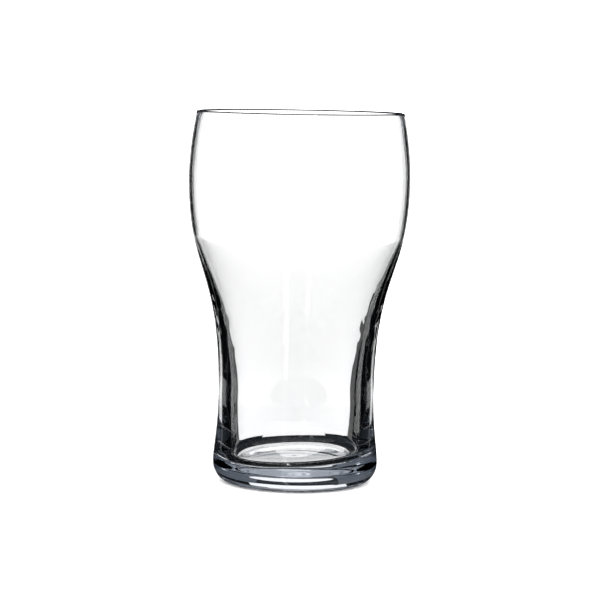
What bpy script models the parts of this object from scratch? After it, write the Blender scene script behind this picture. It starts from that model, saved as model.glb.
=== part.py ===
# A clear tulip pint glass: a thick round foot, a straight waisted leg, and a thin bowl that swells
# out and then leans in to a small rounded lip. It is one piece of pressed glass, turned about +Z.
# The origin is the middle of the underside, on the plane that the glass stands on.
from math import cos, pi, radians, sin

import bpy

MM = 0.001

# Driving dimensions, in millimetres. Heights marked "up" are measured from the table,
# and heights marked "down" are measured from the rim.
HEIGHT = 152.0
BELLY_RADIUS = 45.5         # outside, at the widest part of the bowl
BELLY_DOWN = 26.5           # from the rim to the widest part
RIM_INSET = 3.1             # how much narrower the rim is than the belly
FOOT_RADIUS = 34.05         # outside, at the widest part of the foot
FOOT_UP = 8.0               # from the table to the widest part of the foot
WAIST_INSET = 1.9           # how much narrower the leg is than the foot
WAIST_UP = 36.0             # from the table to the narrowest part of the leg

# The wall, measured level from the outside to the inside.
LEG_WALL = 5.3              # at the waist; below it the bore runs straight down
BELLY_WALL = 1.5
RIM_WALL = 1.6
TAPER_DOWN = 51.0           # from the rim to where the wall is as thin as the belly's

# The base.
FLOOR_UP = 9.4              # from the table to the floor inside
FLOOR_FILLET = 4.2          # round corner between the floor and the wall
HEEL_WIDTH = 7.0            # how far the round heel runs in under the foot
RING_WIDTH = 2.0            # flat ring that touches the table
PUNT_DEPTH = 1.8            # hollow under the middle of the base

# Shape factors: how long each curve stays upright, as a share of its own stretch.
FOOT_TO_WAIST = (0.22, 0.50)
WAIST_TO_BELLY = (0.60, 0.46)
BELLY_TO_RIM = (0.19, 0.38)
LEG_TO_BELLY_WALL = (0.22, 0.10)
RIM_LEAN = 0.22             # inward lean of the wall at the rim, as radius over height

# How finely the curves are cut.
TURN_STEPS = 64
FOOT_STEPS = 4
FLANK_STEPS = 10
BOWL_STEPS = 6
HEEL_STEPS = 5
FILLET_STEPS = 5
LIP_STEPS = 6
TAPER_STEPS = 16
PUNT_STEPS = 3

GLASS_COLOR = (0.93, 0.96, 0.96, 1.0)


def bezier(start, start_handle, end_handle, end, steps):
    """Points (radius, height) along a cubic curve, both ends included."""
    points = []
    for step in range(steps + 1):
        t = step / steps
        weights = ((1 - t) ** 3, 3 * t * (1 - t) ** 2, 3 * t ** 2 * (1 - t), t ** 3)
        controls = (start, start_handle, end_handle, end)
        points.append(tuple(sum(w * c[axis] for w, c in zip(weights, controls)) for axis in (0, 1)))
    return points


def arc(center, width, height, from_degrees, to_degrees, steps):
    """Points along part of an ellipse, both ends included."""
    points = []
    for step in range(steps + 1):
        angle = radians(from_degrees + (to_degrees - from_degrees) * step / steps)
        points.append((center[0] + width * cos(angle), center[1] + height * sin(angle)))
    return points


def outer_side():
    """The outside from the foot's widest part up to the rim, before the lip is rounded."""
    waist = (FOOT_RADIUS - WAIST_INSET, WAIST_UP)
    belly = (BELLY_RADIUS, HEIGHT - BELLY_DOWN)
    rim = (BELLY_RADIUS - RIM_INSET, HEIGHT)
    foot = (FOOT_RADIUS, FOOT_UP)

    rise = waist[1] - foot[1]
    low, high = FOOT_TO_WAIST
    leg = bezier(foot, (foot[0], foot[1] + low * rise), (waist[0], waist[1] - high * rise),
                 waist, FOOT_STEPS)
    rise = belly[1] - waist[1]
    low, high = WAIST_TO_BELLY
    flank = bezier(waist, (waist[0], waist[1] + low * rise), (belly[0], belly[1] - high * rise),
                   belly, FLANK_STEPS)
    rise = rim[1] - belly[1]
    low, high = BELLY_TO_RIM
    top = bezier(belly, (belly[0], belly[1] + low * rise),
                 (rim[0] + high * rise * RIM_LEAN, rim[1] - high * rise), rim, BOWL_STEPS)
    return leg + flank[1:] + top[1:]


def radius_at(side, height):
    """Radius of a side, given as points in rising order, at a height between its ends."""
    for (r0, z0), (r1, z1) in zip(side, side[1:]):
        if height <= z1:
            return r0 + (r1 - r0) * (height - z0) / (z1 - z0)
    return side[-1][0]


def ease(value, low, high):
    """0 below low and 1 above high, with a smooth step between."""
    share = min(max((value - low) / (high - low), 0.0), 1.0)
    return share * share * (3 - 2 * share)


def bore_side(side):
    """The inside at the heights of the outside's points, from the waist up to the rim."""
    top = HEIGHT - TAPER_DOWN
    rise = top - WAIST_UP
    low, high = LEG_TO_BELLY_WALL
    taper = bezier((LEG_WALL, WAIST_UP), (LEG_WALL, WAIST_UP + low * rise),
                   (BELLY_WALL, top - high * rise), (BELLY_WALL, top), TAPER_STEPS)
    bore = []
    for radius, height in side:
        if height >= WAIST_UP:
            gather = ease(height, HEIGHT - BELLY_DOWN, HEIGHT)
            wall = radius_at(taper, height) + (RIM_WALL - BELLY_WALL) * gather
            bore.append((radius - wall, height))
    return bore


def glass_profile():
    """Closed half section, from the floor's centre up the inside, over the lip, down the
    outside and in under the base, so that a turn about Z faces outwards."""
    side = outer_side()
    lip = RIM_WALL / 2
    lip_up = HEIGHT - lip

    # Floor and fillet, then the inner wall, which is straight as far as the waist.
    bore = bore_side(side)
    corner = (bore[0][0] - FLOOR_FILLET, FLOOR_UP + FLOOR_FILLET)
    profile = [(0.0, FLOOR_UP)]
    profile += arc(corner, FLOOR_FILLET, FLOOR_FILLET, -90, 0, FILLET_STEPS)
    profile += [point for point in bore if point[1] < lip_up - lip]

    # Lip: a half round as wide as the rim's wall.
    lip_center = (radius_at(side, lip_up) - lip, lip_up)
    profile += arc(lip_center, lip, lip, 180, 0, LIP_STEPS)

    # Outer wall down to the foot, then the heel.
    profile += [point for point in reversed(side) if FOOT_UP < point[1] < lip_up - lip]
    heel_center = (FOOT_RADIUS - HEEL_WIDTH, FOOT_UP)
    profile += arc(heel_center, HEEL_WIDTH, FOOT_UP, 0, -90, HEEL_STEPS)

    # Flat standing ring, and the punt: an arc through the ring's inner edge and the punt's crown.
    ring_inside = FOOT_RADIUS - HEEL_WIDTH - RING_WIDTH
    dome_radius = (ring_inside ** 2 + PUNT_DEPTH ** 2) / (2 * PUNT_DEPTH)
    for step in range(PUNT_STEPS + 1):
        radius = ring_inside * (1 - step / PUNT_STEPS)
        sag = dome_radius - (dome_radius ** 2 - radius ** 2) ** 0.5
        profile.append((radius, PUNT_DEPTH - sag))
    return profile


def glass_material():
    material = bpy.data.materials.new("clear_glass")
    material.use_nodes = True
    shader = material.node_tree.nodes["Principled BSDF"]
    shader.inputs["Base Color"].default_value = GLASS_COLOR
    shader.inputs["Roughness"].default_value = 0.02
    shader.inputs["Metallic"].default_value = 0.0
    shader.inputs["IOR"].default_value = 1.52
    shader.inputs["Transmission Weight"].default_value = 1.0
    return material


def turned_piece(name, profile, material, collection):
    """A closed solid from a half section, turned a full circle about Z."""
    points = [(radius * MM, 0.0, height * MM) for radius, height in profile]
    edges = [(index, index + 1) for index in range(len(points) - 1)]
    mesh = bpy.data.meshes.new(name)
    mesh.from_pydata(points, edges, [])
    mesh.materials.append(material)
    piece = bpy.data.objects.new(name, mesh)
    collection.objects.link(piece)

    turn = piece.modifiers.new("turn", "SCREW")
    turn.axis = "Z"
    turn.angle = 2 * pi
    turn.steps = TURN_STEPS
    turn.render_steps = TURN_STEPS
    turn.use_merge_vertices = True
    turn.merge_threshold = 0.00001
    turn.use_smooth_shade = True
    return piece


def main():
    for old in list(bpy.data.objects):
        bpy.data.objects.remove(old, do_unlink=True)
    collection = bpy.data.collections.new("pint_glass")
    bpy.context.scene.collection.children.link(collection)
    turned_piece("glass_body", glass_profile(), glass_material(), collection)


main()
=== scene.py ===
# A clear tulip pint glass on a pale table, in bright-field studio light.
from math import atan2, cos, degrees, pi, radians, sin

import bmesh
import bpy
from mathutils import Matrix, Vector, noise


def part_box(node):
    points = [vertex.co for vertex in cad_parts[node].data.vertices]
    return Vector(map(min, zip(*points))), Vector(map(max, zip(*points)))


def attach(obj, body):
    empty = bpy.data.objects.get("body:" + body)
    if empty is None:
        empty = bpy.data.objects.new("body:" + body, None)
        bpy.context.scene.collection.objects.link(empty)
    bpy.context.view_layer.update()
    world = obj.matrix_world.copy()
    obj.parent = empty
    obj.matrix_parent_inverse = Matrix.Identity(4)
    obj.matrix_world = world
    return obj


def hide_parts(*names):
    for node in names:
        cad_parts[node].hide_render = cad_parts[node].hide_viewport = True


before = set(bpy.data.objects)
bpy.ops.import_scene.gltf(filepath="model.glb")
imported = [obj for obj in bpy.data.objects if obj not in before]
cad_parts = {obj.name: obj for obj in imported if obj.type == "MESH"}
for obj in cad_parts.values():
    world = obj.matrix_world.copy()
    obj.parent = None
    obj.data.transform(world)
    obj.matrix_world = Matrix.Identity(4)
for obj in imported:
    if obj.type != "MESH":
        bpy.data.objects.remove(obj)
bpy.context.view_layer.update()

mm = 0.001
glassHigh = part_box("glass_body")[1]
print("stage: frame loaded")

cameraSettings = {
    "distance": 0.9667,      # level, from the glass's axis, metres
    "height": 0.1739,
    "tilt": 5.85,            # degrees down
    "roll": 1.0,             # degrees
    "aside": 0.0010,
    "lens": 142.1,
}


def makeCamera(c):
    data = bpy.data.cameras.new("camera")
    data.lens = c["lens"]
    data.sensor_width = 36.0
    data.clip_start = 0.05
    data.clip_end = 50.0
    camera = bpy.data.objects.new("camera", data)
    bpy.context.scene.collection.objects.link(camera)
    place = Matrix.Translation((c["aside"], -c["distance"], c["height"]))
    tilt = Matrix.Rotation(radians(90.0 - c["tilt"]), 4, "X")
    roll = Matrix.Rotation(radians(c["roll"]), 4, "Z")
    camera.matrix_world = place @ tilt @ roll
    bpy.context.scene.camera = camera
    return camera


camera = makeCamera(cameraSettings)

glassShape = {               # millimetres; overall height and belly come from the frame
    "bellyDown": 26.5, "rimInset": 3.1, "rimLean": 0.22,
    "footRadius": 34.05, "footUp": 8.0, "waistInset": 1.9, "waistUp": 36.0,
    "legWall": 5.3, "bellyWall": 1.5, "rimWall": 1.6,
    "taperDown": 51.0, "legToBellyWall": (0.22, 0.10),
    "floorUp": 9.4, "floorFillet": 4.2,
    "heelWidth": 7.0, "ringWidth": 2.0, "puntDepth": 1.8,
    "footToWaist": (0.22, 0.50), "waistToBelly": (0.60, 0.46), "bellyToRim": (0.19, 0.38),
    "turnSteps": 256, "legSteps": 24, "flankSteps": 88, "topSteps": 28, "taperSteps": 40,
    "roundSteps": 12, "heelSteps": 16, "puntSteps": 16,
    "floorLean": 0.048, "leanUp": 34.0,      # slope of the floor, and the height where the lean has faded
    "swell": 0.008, "swellPitch": (9, 14), "swellUp": (30, 110), "swellDown": 6,
    "outerRipple": 0.035, "ripplePitch": (2.6, 4), "rippleShift": 40, "shoulder": (48, 58, 72, 84),
    "ringPitch": 5.5, "ringDepth": 0.03, "ringFade": (14, 22),
    "lipClear": 3.0, "axisClear": 0.5,
}


def curveRun(start, startHandle, endHandle, end, steps):
    points = []
    for step in range(steps + 1):
        t = step / steps
        weights = ((1 - t) ** 3, 3 * t * (1 - t) ** 2, 3 * t * t * (1 - t), t ** 3)
        handles = (start, startHandle, endHandle, end)
        points.append(tuple(sum(w * h[axis] for w, h in zip(weights, handles)) for axis in (0, 1)))
    return points


def arcRun(center, width, height, fromDegrees, toDegrees, steps):
    turns = [radians(fromDegrees + (toDegrees - fromDegrees) * step / steps) for step in range(steps + 1)]
    return [(center[0] + width * cos(turn), center[1] + height * sin(turn)) for turn in turns]


def ease(value, low, high):
    share = min(max((value - low) / (high - low), 0.0), 1.0)
    return share * share * (3 - 2 * share)


def outerSide(g, height, bellyRadius):
    waist = (g["footRadius"] - g["waistInset"], g["waistUp"])
    belly = (bellyRadius, height - g["bellyDown"])
    rim = (bellyRadius - g["rimInset"], height)
    foot = (g["footRadius"], g["footUp"])
    low, high = g["footToWaist"]
    rise = waist[1] - foot[1]
    leg = curveRun(foot, (foot[0], foot[1] + low * rise), (waist[0], waist[1] - high * rise), waist,
                   g["legSteps"])
    low, high = g["waistToBelly"]
    rise = belly[1] - waist[1]
    flank = curveRun(waist, (waist[0], waist[1] + low * rise), (belly[0], belly[1] - high * rise), belly,
                     g["flankSteps"])
    low, high = g["bellyToRim"]
    rise = rim[1] - belly[1]
    lean = high * rise * g["rimLean"]
    top = curveRun(belly, (belly[0], belly[1] + low * rise), (rim[0] + lean, rim[1] - high * rise), rim,
                   g["topSteps"])
    return leg + flank[1:] + top[1:]


def radiusAt(side, height):
    for (r0, z0), (r1, z1) in zip(side, side[1:]):
        if height <= z1:
            return r0 + (r1 - r0) * (height - z0) / (z1 - z0)
    return side[-1][0]


def glassSection(g, height, bellyRadius):
    side = outerSide(g, height, bellyRadius)
    low, high = g["legToBellyWall"]
    taperTop = height - g["taperDown"]
    rise = taperTop - g["waistUp"]
    taper = curveRun((g["legWall"], g["waistUp"]), (g["legWall"], g["waistUp"] + low * rise),
                     (g["bellyWall"], taperTop - high * rise), (g["bellyWall"], taperTop), g["taperSteps"])

    def boreAt(level):
        # straight below the waist, then the outside less the wall
        level = max(level, g["waistUp"])
        wall = radiusAt(taper, level)
        gather = ease(level, height - g["bellyDown"], height)
        return radiusAt(side, level) - wall - (g["rimWall"] - g["bellyWall"]) * gather

    lip = g["rimWall"] / 2
    lipUp = height - lip
    filletTop = g["floorUp"] + g["floorFillet"]
    corner = (boreAt(filletTop) - g["floorFillet"], filletTop)

    rounds = g["roundSteps"]
    section = [(corner[0] * step / rounds, g["floorUp"]) for step in range(rounds)]
    section += arcRun(corner, g["floorFillet"], g["floorFillet"], -90, 0, rounds)
    section += [(boreAt(level), level) for radius, level in side if filletTop + lip < level < lipUp - lip]
    section += arcRun((radiusAt(side, lipUp) - lip, lipUp), lip, lip, 180, 0, rounds)
    section += [point for point in reversed(side) if g["footUp"] < point[1] < lipUp - lip]
    heel = (g["footRadius"] - g["heelWidth"], g["footUp"])
    section += arcRun(heel, g["heelWidth"], g["footUp"], 0, -90, g["heelSteps"])

    ringInside = heel[0] - g["ringWidth"]
    dome = (ringInside ** 2 + g["puntDepth"] ** 2) / (2 * g["puntDepth"])
    for step in range(g["puntSteps"] + 1):
        radius = ringInside * (1 - step / g["puntSteps"])
        section.append((radius, g["puntDepth"] - dome + (dome ** 2 - radius ** 2) ** 0.5))
    return section


def waveAt(point, across, upward, shift=Vector()):
    return noise.noise(Vector((point.x / across, point.y / across, point.z / upward)) + shift)


def unevenWalls(bm, g, side):
    # a slightly leaning floor, faint rings on it, and shallow waves in the walls
    height = side[-1][1]
    rippleFrom = Vector((g["rippleShift"], 0, 0))
    riseLow, riseHigh, fallLow, fallHigh = g["shoulder"]
    swellLow, swellHigh = g["swellUp"]
    for vert in bm.verts:
        point = vert.co / mm
        radius = point.xy.length
        if point.z < g["floorUp"] - 0.01 or point.z > height - g["lipClear"] or radius < g["axisClear"]:
            continue
        inside = radius < radiusAt(side, point.z) - g["bellyWall"] / 2
        shoulder = ease(point.z, riseLow, riseHigh) * (1 - ease(point.z, fallLow, fallHigh))
        swell = waveAt(point, *g["swellPitch"])
        ripple = waveAt(point, *g["ripplePitch"], rippleFrom)
        fade = ease(point.z, g["floorUp"] + 4, swellLow)
        fade *= 1 - ease(point.z, swellHigh, height - g["swellDown"])
        if inside:
            point.z += g["floorLean"] * point.x * (1 - ease(point.z, g["floorUp"], g["leanUp"]))
            depth = g["swell"] * swell * fade
            if point.z < g["floorUp"] + 2:
                rings = sin(radius * 2 * pi / g["ringPitch"]) * (1 - ease(radius, *g["ringFade"]))
                point.z += g["ringDepth"] * rings
        else:
            depth = g["outerRipple"] * shoulder * ripple
        point.xy *= 1 + depth / radius
        vert.co = point * mm


def pieceFrom(bm, name, material=None):
    mesh = bpy.data.meshes.new(name)
    bm.to_mesh(mesh)
    bm.free()
    piece = bpy.data.objects.new(name, mesh)
    bpy.context.scene.collection.objects.link(piece)
    if material:
        mesh.materials.append(material)
    return piece


def spinPiece(name, section, steps, material, shape):
    bm = bmesh.new()
    points = [bm.verts.new((radius * mm, 0.0, level * mm)) for radius, level in section]
    for first, second in zip(points, points[1:]):
        bm.edges.new((first, second))
    bmesh.ops.spin(bm, geom=bm.verts[:] + bm.edges[:], axis=(0, 0, 1), cent=(0, 0, 0),
                   angle=2 * pi, steps=steps, use_merge=True)
    bmesh.ops.remove_doubles(bm, verts=bm.verts[:], dist=0.002 * mm)
    shape(bm)
    bmesh.ops.recalc_face_normals(bm, faces=bm.faces[:])
    for face in bm.faces:
        face.smooth = True
    return pieceFrom(bm, name, material)


surface = {
    # slow flow of the pressed glass, full at the shoulder and calm elsewhere
    "waveScale": (190.0, 190.0, 90.0), "waveDepth": 0.000016, "waveDetail": 1.0, "calm": 0.12,
    "waveUp": 0.074, "waveReach": 0.030, "waveFade": 0.014,
    # fine handling marks
    "grainScale": 900.0, "grainDepth": 0.0000006, "grainDetail": 2.0,
    # scuffs where the glass stands, then the colour and bend of the glass
    "ringLow": 0.0240, "ringHigh": 0.0282, "ringUp": 0.0007, "ringWear": 0.34,
    "ringScale": 2600.0, "ringDetail": 3.0,
    "tint": (0.70, 0.78, 0.90), "tintDensity": 5.0, "bend": 1.52,
}


def newGroup(name, inputs, outputs):
    group = bpy.data.node_groups.new(name, "ShaderNodeTree")
    for socket, value in inputs.items():
        made = group.interface.new_socket(socket, in_out="INPUT", socket_type="NodeSocketFloat")
        made.default_value = value
    for socket, kind in outputs.items():
        group.interface.new_socket(socket, in_out="OUTPUT", socket_type=kind)
    return group, group.nodes.new("NodeGroupInput"), group.nodes.new("NodeGroupOutput")


def calc(group, operation, first, second=None, clamp=False):
    node = group.nodes.new("ShaderNodeMath")
    node.operation = operation
    node.use_clamp = clamp
    for socket, value in zip(node.inputs, (first, second)):
        if isinstance(value, (int, float)):
            socket.default_value = value
        elif value is not None:
            group.links.new(value, socket)
    return node.outputs[0]


def objectAxes(group):
    coordinates = group.nodes.new("ShaderNodeTexCoord")
    split = group.nodes.new("ShaderNodeSeparateXYZ")
    group.links.new(coordinates.outputs["Object"], split.inputs[0])
    return split.outputs


def noiseField(group, scale, detail):
    coordinates = group.nodes.new("ShaderNodeTexCoord")
    mapping = group.nodes.new("ShaderNodeMapping")
    mapping.inputs["Scale"].default_value = scale
    group.links.new(coordinates.outputs["Object"], mapping.inputs["Vector"])
    field = group.nodes.new("ShaderNodeTexNoise")
    field.inputs["Scale"].default_value = 1.0
    field.inputs["Detail"].default_value = detail
    group.links.new(mapping.outputs["Vector"], field.inputs["Vector"])
    return field.outputs[0]


def flowWaves(g):
    # slow upright waves with a trace of fine grain, as a surface normal
    group, source, sink = newGroup("flowWaves", {"Depth": g["waveDepth"], "Grain": g["grainDepth"]},
                                   {"Normal": "NodeSocketVector"})
    away = calc(group, "ABSOLUTE", calc(group, "SUBTRACT", objectAxes(group)["Z"], g["waveUp"]))
    within = calc(group, "SUBTRACT", g["waveReach"], away)
    shoulder = calc(group, "DIVIDE", within, g["waveFade"], clamp=True)
    share = calc(group, "MULTIPLY_ADD", shoulder, 1 - g["calm"])
    share.node.inputs[2].default_value = g["calm"]
    depth = calc(group, "MULTIPLY", source.outputs["Depth"], share)
    waves = calc(group, "MULTIPLY", noiseField(group, g["waveScale"], g["waveDetail"]), depth)
    speckle = noiseField(group, (g["grainScale"],) * 3, g["grainDetail"])
    grain = calc(group, "MULTIPLY", speckle, source.outputs["Grain"])
    bump = group.nodes.new("ShaderNodeBump")
    bump.inputs["Distance"].default_value = 1.0
    group.links.new(calc(group, "ADD", waves, grain), bump.inputs["Height"])
    group.links.new(bump.outputs["Normal"], sink.inputs["Normal"])
    return group


def ringWear(g):
    # roughness: none but for a scuffed ring where the glass stands
    group, source, sink = newGroup("ringWear", {"Wear": g["ringWear"]}, {"Roughness": "NodeSocketFloat"})
    axes = objectAxes(group)
    across = calc(group, "POWER", axes["X"], 2)
    along = calc(group, "POWER", axes["Y"], 2)
    radius = calc(group, "SQRT", calc(group, "ADD", across, along))
    ring = calc(group, "MULTIPLY", calc(group, "GREATER_THAN", radius, g["ringLow"]),
                calc(group, "LESS_THAN", radius, g["ringHigh"]))
    ring = calc(group, "MULTIPLY", ring, calc(group, "LESS_THAN", axes["Z"], g["ringUp"]))
    speckle = noiseField(group, (g["ringScale"],) * 3, g["ringDetail"])
    scuffs = calc(group, "MULTIPLY", speckle, source.outputs["Wear"])
    group.links.new(calc(group, "MULTIPLY", ring, scuffs), sink.inputs["Roughness"])
    return group


def useGroup(material, group):
    node = material.node_tree.nodes.new("ShaderNodeGroup")
    node.node_tree = group
    return node


def makeGlassMaterial(g):
    material = bpy.data.materials.new("clearGlass")
    material.use_nodes = True
    nodes, links = material.node_tree.nodes, material.node_tree.links
    shader = nodes["Principled BSDF"]
    shader.inputs["Base Color"].default_value = (1, 1, 1, 1)
    shader.inputs["IOR"].default_value = g["bend"]
    shader.inputs["Transmission Weight"].default_value = 1.0
    links.new(useGroup(material, ringWear(g)).outputs["Roughness"], shader.inputs["Roughness"])
    links.new(useGroup(material, flowWaves(g)).outputs["Normal"], shader.inputs["Normal"])
    absorb = nodes.new("ShaderNodeVolumeAbsorption")
    absorb.inputs["Color"].default_value = (*g["tint"], 1)
    absorb.inputs["Density"].default_value = g["tintDensity"]
    links.new(absorb.outputs[0], nodes["Material Output"].inputs["Volume"])
    return material


section = glassSection(glassShape, glassHigh.z / mm, glassHigh.x / mm)
outside = outerSide(glassShape, glassHigh.z / mm, glassHigh.x / mm)
glass = spinPiece("tulip_glass", section, glassShape["turnSteps"], makeGlassMaterial(surface),
                  lambda bm: unevenWalls(bm, glassShape, outside))
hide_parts("glass_body")
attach(glass, "root")
print("stage: glass turned,", len(glass.data.polygons), "faces")


def emissionMaterial(name, color, strength):
    material = bpy.data.materials.new(name)
    material.use_nodes = True
    nodes, links = material.node_tree.nodes, material.node_tree.links
    nodes.remove(nodes["Principled BSDF"])
    glow = nodes.new("ShaderNodeEmission")
    glow.inputs["Color"].default_value = (*color, 1)
    glow.inputs["Strength"].default_value = strength
    links.new(glow.outputs[0], nodes["Material Output"].inputs["Surface"])
    return material


floorLook = {"radius": 6.0, "shade": (0.9, 0.9, 0.9, 1), "roughness": 0.9}


def makeFloor(g):
    bm = bmesh.new()
    bmesh.ops.create_circle(bm, cap_ends=True, segments=96, radius=g["radius"])
    material = bpy.data.materials.new("paleTable")
    material.use_nodes = True
    shader = material.node_tree.nodes["Principled BSDF"]
    shader.inputs["Base Color"].default_value = g["shade"]
    shader.inputs["Roughness"].default_value = g["roughness"]
    shader.inputs["Specular IOR Level"].default_value = 0.0
    floor = pieceFrom(bm, "floor", material)
    floor.visible_transmission = False
    floor.visible_glossy = False


# A tent of glowing and black panels far round the glass, which only refractions and reflections see.
# Angles are degrees: first round the glass, 0 straight behind it and positive to the right, then above
# the table. Each panel is [left, right, low, high, shade, strength].
tent = {
    "radius": 12.0, "stepDegrees": 6,
    "panels": {
        "backdrop": [-18.5, 14, -17, -7, (1, 1, 1), 1.0],
        "backdropHigh": [-13.5, 14, -7, 3.5, (1, 1, 1), 2.0],
        "horizonGap": [-23, 19, 3.5, 12, (0.7, 0.85, 1.0), 0.03],
        "tableGap": [-18.5, 14, -90, -17, (0.7, 0.85, 1.0), 0.012],
        "edgeLeft": [-23, -18.5, -90, -7, (1, 1, 1), 0.13],
        "edgeRight": [14, 19, -90, -7, (1, 1, 1), 0.13],
        "edgeLeftHigh": [-23, -13.5, -7, 3.5, (1, 1, 1), 0.01],
        "edgeRightHigh": [14, 19, -7, 3.5, (1, 1, 1), 0.01],
        "flagLeft": [-161, -23, -90, 3.5, (0.7, 0.85, 1.0), 0.002],
        "flagBack": [-180, -166, -90, 3.5, (0.7, 0.85, 1.0), 0.002],
        "flagRight": [19, 180, -90, 3.5, (0.7, 0.85, 1.0), 0.002],
        "highGap": [-23, 19, 12, 45, (0.7, 0.85, 1.0), 0.02],
        "flagHighLeft": [-161, -23, 3.5, 45, (0.75, 0.85, 1.0), 0.14],
        "flagHighBack": [-180, -166, 3.5, 45, (0.75, 0.85, 1.0), 0.14],
        "flagHighRight": [19, 180, 3.5, 45, (0.75, 0.85, 1.0), 0.14],
        "sideLightLow": [-166, -161, -90, -20, (1, 1, 1), 2.4],
        "sideLightGap": [-166, -161, -20, 12, (1, 1, 1), 0.25],
        "sideLightHigh": [-166, -161, 12, 45, (1, 1, 1), 2.4],
        "ceilingFront": [-40, 40, 45, 90, (1, 1, 1), 1.0],
        "ceilingLeft": [-180, -40, 45, 90, (0.95, 0.97, 1.0), 0.5],
        "ceilingRight": [40, 180, 45, 90, (0.95, 0.97, 1.0), 0.5],
    },
    # strength of the backdrop by degrees above the table
    "grade": [(-17, 1.03), (-14.2, 1.05), (-11, 1.085), (-10.6, 1.09), (-10.2, 1.12), (-9.2, 1.15),
              (-8.2, 1.24), (-7, 2.0)],
    "sideLift": [10, 1.16],      # brighter to both sides: full by these degrees off the middle
}
# Close behind the foot: [left, right, low, high, strength, narrowing], heights in millimetres. A strip with
# a narrowing of 1 closes to a point at both ends, at the pinchUp share of its height.
footLights = {
    "radius": 0.090, "steps": 24, "pinchUp": 0.38,
    "strips": {"footStrip": [-14, 12.5, -14, 5, 1.15, 0], "footCard": [-10.5, 13, 15.2, 28, 1.12, 1]},
}
basePad = {"middle": (-0.0015, 0.0112), "radii": (0.028, 0.0232), "drop": 0.0003, "strength": 1.0}


def hideFromCamera(panel):
    panel.visible_camera = False
    panel.visible_diffuse = False
    panel.visible_shadow = False
    panel.parent = camera
    panel.matrix_parent_inverse = camera.matrix_world.inverted()


def gradeBackdrop(panel, low, high, radius, grade, sideLift):
    # strength follows the height, with as many stops as the grade has, and rises a little to both sides
    group = panel.data.materials[0].node_tree
    axes = objectAxes(group)
    floorZ, ceilingZ = radius * sin(radians(low)), radius * sin(radians(high))
    share = group.nodes.new("ShaderNodeMapRange")
    share.inputs["From Min"].default_value = floorZ
    share.inputs["From Max"].default_value = ceilingZ
    group.links.new(axes["Z"], share.inputs["Value"])
    ramp = group.nodes.new("ShaderNodeValToRGB")
    group.links.new(share.outputs["Result"], ramp.inputs["Fac"])
    top = max(strength for rise, strength in grade)
    stops = ramp.color_ramp.elements
    for rise, strength in grade:
        place = (radius * sin(radians(rise)) - floorZ) / (ceilingZ - floorZ)
        stop = stops[0] if place < 0.001 else stops[-1] if place > 0.999 else stops.new(place)
        stop.color = (*(strength / top,) * 3, 1)
    glow = next(node for node in group.nodes if node.type == "EMISSION")
    group.links.new(ramp.outputs["Color"], glow.inputs["Color"])
    spread = group.nodes.new("ShaderNodeMapRange")
    spread.inputs["From Max"].default_value = radius * sin(radians(sideLift[0]))
    spread.inputs["To Min"].default_value = top
    spread.inputs["To Max"].default_value = top * sideLift[1]
    group.links.new(calc(group, "ABSOLUTE", axes["X"]), spread.inputs["Value"])
    group.links.new(spread.outputs["Result"], glow.inputs["Strength"])


def makePanel(name, left, right, low, high, shade, strength, radius, stepDegrees):
    bm = bmesh.new()
    start = Matrix.Rotation(radians(90 - left), 4, "Z")
    steps = max(2, round((high - low) / stepDegrees))
    points = []
    for step in range(steps + 1):
        rise = radians(low + (high - low) * step / steps)
        points.append(bm.verts.new(start @ Vector((radius * cos(rise), 0, radius * sin(rise)))))
    for first, second in zip(points, points[1:]):
        bm.edges.new((first, second))
    bmesh.ops.spin(bm, geom=bm.verts[:] + bm.edges[:], axis=(0, 0, 1), cent=(0, 0, 0),
                   angle=-radians(right - left), steps=max(2, round((right - left) / stepDegrees)))
    panel = pieceFrom(bm, name, emissionMaterial(name, shade, strength))
    hideFromCamera(panel)
    return panel


def makeBasePad(g):
    bm = bmesh.new()
    bmesh.ops.create_circle(bm, cap_ends=True, segments=64, radius=1.0)
    place = Matrix.Translation((*g["middle"], -g["drop"])) @ Matrix.Diagonal((*g["radii"], 1, 1))
    bmesh.ops.transform(bm, matrix=place, verts=bm.verts[:])
    hideFromCamera(pieceFrom(bm, "basePad", emissionMaterial("basePad", (1, 1, 1), g["strength"])))


def makeFootStrip(g, name, left, right, low, high, strength, pinch):
    bm = bmesh.new()
    start = Matrix.Rotation(radians(90 - left), 4, "Z")
    ends = [bm.verts.new(start @ Vector((g["radius"], 0, level * mm))) for level in (low, high)]
    bm.edges.new(ends)
    bmesh.ops.spin(bm, geom=bm.verts[:] + bm.edges[:], axis=(0, 0, 1), cent=(0, 0, 0),
                   angle=-radians(right - left), steps=g["steps"])
    middle = (low * (1 - g["pinchUp"]) + high * g["pinchUp"]) * mm
    for vert in bm.verts:
        turn = 90 - degrees(atan2(vert.co.y, vert.co.x))
        off = (2 * turn - left - right) / (right - left)
        vert.co.z += (middle - vert.co.z) * pinch * (1 - max(0, 1 - off * off) ** 0.5)
    hideFromCamera(pieceFrom(bm, name, emissionMaterial(name, (1, 1, 1), strength)))


makeFloor(floorLook)
for name, panel in tent["panels"].items():
    made = makePanel(name, *panel, tent["radius"], tent["stepDegrees"])
    if name == "backdrop":
        gradeBackdrop(made, panel[2], panel[3], tent["radius"], tent["grade"], tent["sideLift"])
makeBasePad(basePad)
for name, strip in footLights["strips"].items():
    makeFootStrip(footLights, name, *strip)

light = {"worldStrength": 3.2, "bounces": 32, "glossyBounces": 16}
world = bpy.data.worlds.new("studio")
world.use_nodes = True
world.node_tree.nodes["Background"].inputs["Color"].default_value = (1, 1, 1, 1)
world.node_tree.nodes["Background"].inputs["Strength"].default_value = light["worldStrength"]
bpy.context.scene.world = world

scene = bpy.context.scene
scene.view_settings.view_transform = "Standard"
scene.cycles.max_bounces = light["bounces"]
scene.cycles.transmission_bounces = light["bounces"]
scene.cycles.glossy_bounces = light["glossyBounces"]
print("stage: studio set")
